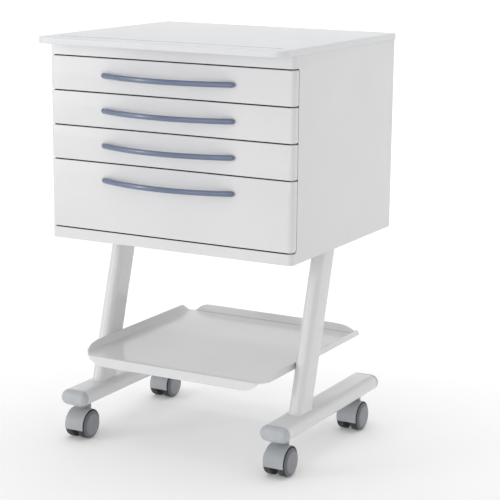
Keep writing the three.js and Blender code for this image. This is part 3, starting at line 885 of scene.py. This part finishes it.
def hood_section():
    """Across the shield: a slightly crowned skin with rounded shoulders."""
    outer = [(HOOD_HALF - 0.01, HOOD_RADIUS - 0.9), (HOOD_HALF - 0.9, HOOD_RADIUS - 0.12)]
    outer += [(HOOD_HALF - 3, HOOD_RADIUS), (0, HOOD_RADIUS)]
    outer += [(-x, r) for x, r in reversed(outer[:-1])]
    inner = [(x, HOOD_RADIUS - HOOD_SKIN) for x in (-HOOD_HALF, 0, HOOD_HALF)]
    return outer + inner


def make_hood_shade_lips(place, axle):
    """Painted shade: a black strip inside each rim of the shield, which closes the gap to the wheel
    and darkens that shadowed gap.
    """
    outer = HOOD_RADIUS - HOOD_SKIN - 0.2
    inner = outer - 1.5
    near, far = HOOD_HALF - 1.6, HOOD_HALF - 0.3
    for hand, way in zip(SIDES, (-1, 1)):
        corners = ((near, outer), (far, outer), (far, inner), (near, inner))
        shade_lip = sweep_hood(axle, [(way * x, r) for x, r in corners], start=12, sweep=178)
        new_piece(f"hood_shade_lip_{hand}_{place}", shade_lip, RUBBER_AND_PAINTED_SHADE, "black_rubber", f"swivel_{place}")


def hood_web(axle):
    """The plate between the wheels: a half disc under the shield, and a boss round the axle."""
    half, boss = 6.4, 11.5
    rim = HOOD_RADIUS - HOOD_SKIN + 0.4
    end = math.degrees(math.acos(boss / rim))
    profile = arc((axle.y, axle.z), boss, 180, 360, 16)
    profile += arc((axle.y, axle.z), rim, 4, 180 - end, 30)
    return loft([[(axle.x + x, y, z) for y, z in profile] for x in (-half, half)])


def hood_collar(axle, stem, top):
    """The neck round the stem: it flares where it meets the shield and is flat on top."""
    radius, steps, ease = 11.0, 48, 0.7

    def crest(y):
        """Height of the shield over a place, less a little so that the neck sinks into it."""
        return axle.z + math.sqrt(HOOD_RADIUS**2 - (y - axle.y) ** 2) - 0.5

    rings = []
    for r, lift in ((radius + 2.4, 0.0), (radius + 0.9, 1.6), (radius, 4.0)):
        around = circle((stem.x, stem.y), r, steps)
        rings.append([(x, y, min(crest(y) + lift, top)) for x, y in around])
    for r, z in ((radius, top - ease), (radius - ease, top)):
        rings.append([(x, y, z) for x, y in circle((stem.x, stem.y), r, steps)])
    return loft(rings)


def tyre_profile():
    """A soft tread with a rounded inner shoulder."""
    bore, tread, joint = 12.0, WHEEL_RADIUS, RIM_JOINT
    profile = [(WHEEL_INNER, bore), (WHEEL_INNER, tread - 1.6), (WHEEL_INNER + 0.5, tread - 0.5)]
    profile += [(WHEEL_INNER + 1.6, tread), (joint - 4.0, tread), (joint - 0.6, tread - 1.0)]
    return profile + [(joint, tread - 2.2), (joint, bore)]


def rim_profile():
    """A bowed ring from the tyre to the disc."""
    bore, shoulder, floor = 22.0, WHEEL_RADIUS - 1.0, WHEEL_OUTER - 2.0
    start, reach = RIM_JOINT + 0.2, WHEEL_OUTER - 1.0 - RIM_JOINT - 0.2
    profile = [(RIM_JOINT + 0.1, bore), (RIM_JOINT + 0.1, shoulder - 0.8)]
    for turn in quarter(10):
        bow = (1 - math.cos(turn)) * 0.6 + math.sin(turn) * 0.4
        profile.append((start + reach * math.sin(turn), shoulder - (shoulder - DISC_RADIUS) * bow))
    return profile + [(floor, DISC_RADIUS - 0.4), (floor, bore)]


def disc_profile():
    """A plain disc set into the rim, with an eased edge and a slight crown."""
    back, face = WHEEL_OUTER - 3.2, WHEEL_OUTER
    profile = [(back, DISC_RADIUS - 0.6), (face - 1.1, DISC_RADIUS - 0.25)]
    profile += [(face - 0.6, DISC_RADIUS - 0.45), (face - 0.35, DISC_RADIUS - 1.1)]
    profile += [(face - 0.2, DISC_RADIUS * 0.6), (face, 5.0)]
    return profile + [(face, CORE), (back, CORE)]


def hub_profile():
    """The wheel's hub, round the axle."""
    bore, radius = 3.2, 12.4
    inner, outer = WHEEL_INNER + 0.4, WHEEL_OUTER - 3.0
    return [(inner, bore), (inner, radius), (outer, radius), (outer, bore)]


def make_wheel(hand, row, side):
    """One twin-caster wheel: a soft tyre, a rounded rim, a plain disc in its face and a hub."""
    place = f"{row}_{side}"
    axle = mm_middle(f"caster_axle_{place}")
    way = 1 if hand == "right" else -1
    layers = (
        ("tyre", tyre_profile(), TREAD, (f"wheel_{hand}_{place}",)),
        ("rim", rim_profile(), RIM_GREY, ()),
        ("disc", disc_profile(), DISC_GREY, ()),
        ("hub", hub_profile(), HOOD_GREY, ()),
    )
    for layer, profile, material, stands_for in layers:
        bm = revolve([(way * x, r) for x, r in profile], 72)
        bmesh.ops.translate(bm, vec=axle, verts=bm.verts)
        name, body = f"{layer}_{hand}_{place}", f"roller_{hand}_{place}"
        new_piece(name, bm, material, "wheel_grey", body, replaces=stands_for)


# ------------------------------------------------------------------ CAD nodes that stay

CARRIED = {
    "white_paint": WHITE,
    "worktop_white": TOP_WHITE,
    "slate_blue": SLATE,
    "cap_grey": CAP_GREY,
    "hood_grey": HOOD_GREY,
    "wheel_grey": TREAD,
    "black_rubber": RUBBER_AND_PAINTED_SHADE,
    "zinc_steel": ZINC,
}


def dress_cad_nodes():
    """Gives every CAD node its finish, and softens the edges of those that are still shown."""
    slots = {part["node"]: part["material_slot"] for part in frame["record"]["subparts"]}
    for name, node in frame["nodes"].items():
        node.data.materials.clear()
        node.data.materials.append(CARRIED[slots[name]])
        if not node.hide_render:
            smooth(node.data, CAD_SHARP)
            soften(node, 0.35 * MM)


# ------------------------------------------------------------------ stage


def make_floor():
    """A pale round floor that sweeps up far away on every side, so no horizon shows."""
    flat, sweep, sides, below = 5200.0, 3800.0, 96, 0.2
    profile = [(flat * (i + 1) / 4, 0.0) for i in range(4)]
    for a in quarter(24)[1:]:
        profile.append((flat + sweep * math.sin(a), sweep * (1 - math.cos(a))))
    rings = []
    for radius, height in profile:
        rings.append([(x, y, height - below) for x, y in circle((0, 0), radius, sides)])
    bm = loft(rings, cap_end=False)
    bmesh.ops.recalc_face_normals(bm, faces=bm.faces)
    mesh = metre_mesh("floor", bm)
    mesh.shade_smooth()
    surface = Surface("floor", srgb(250, 250, 250), 0.7, specular=0.15)
    surface.shader.inputs["Emission Color"].default_value = (1, 1, 1, 1)
    surface.shader.inputs["Emission Strength"].default_value = 0.12
    mesh.materials.append(surface.material)
    link("floor", mesh)


def add_light(name, place, aim, size, power):
    """A rectangular softbox, aimed at a point."""
    data = bpy.data.lights.new(name, "AREA")
    data.shape = "RECTANGLE"
    data.size, data.size_y = size
    data.energy = power
    light = link(name, data)
    light.location = place
    light.rotation_mode = "QUATERNION"
    light.rotation_quaternion = (Vector(aim) - Vector(place)).to_track_quat("-Z", "Y")


def make_studio():
    """Even white surroundings, soft lights from the front and above, and a bright backdrop."""
    world = bpy.data.worlds.new("studio")
    world.use_nodes = True
    background = world.node_tree.nodes["Background"]
    background.inputs["Color"].default_value = (1.0, 1.0, 1.0, 1.0)
    background.inputs["Strength"].default_value = 0.57
    scene = bpy.context.scene
    scene.world = world
    scene.view_settings.view_transform = "Standard"
    scene.view_settings.look = "None"
    scene.view_settings.exposure = 0.0
    middle = (0, 0, 0.5)
    add_light("key", (-3.4, -3.2, 1.6), middle, size=(2.2, 2.6), power=23)
    add_light("streak", (-3.2, -3.4, 1.1), middle, size=(0.35, 2.2), power=18)
    add_light("front", (0.4, -4.4, 1.15), (0, 0, 0.4), size=(3.0, 1.5), power=21)
    add_light("overhead", (-0.2, 0.2, 3.6), middle, size=(3.0, 3.0), power=30)
    add_light("backdrop", (0, 3.2, 4.5), (0, 7.5, 0.5), size=(7.0, 1.5), power=165)


def make_camera():
    """The main viewpoint: from the front right and above, through a long lens."""
    data = bpy.data.cameras.new("camera")
    data.sensor_width = 36
    data.lens = 117.9
    camera = link("camera", data)
    camera.location = (1.7896, -3.1687, 1.221)
    yaw, pitch, roll = 0.4944, 0.2124, 0.0109
    level = math.cos(pitch)
    forward = Vector((-math.sin(yaw) * level, math.cos(yaw) * level, -math.sin(pitch)))
    camera.rotation_mode = "QUATERNION"
    camera.rotation_quaternion = forward.to_track_quat("-Z", "Y") @ Quaternion((0, 0, 1), roll)
    bpy.context.scene.camera = camera


# ------------------------------------------------------------------ the cart

make_camera()
make_studio()
make_floor()

make_cabinet_shell()
make_rail_returns()
make_painted_shade_strips()
make_worktop()
make_shelf()
for drawer in DRAWERS:
    make_drawer_front(drawer)
    make_handle(drawer)
for side in SIDES:
    make_leg(side)
    make_foot_bar(side)
    make_shelf_pad(side)
    for row in ROWS:
        make_foot_cap(row, side)
        make_hood(row, side)
        for hand in SIDES:
            make_wheel(hand, row, side)
dress_cad_nodes()
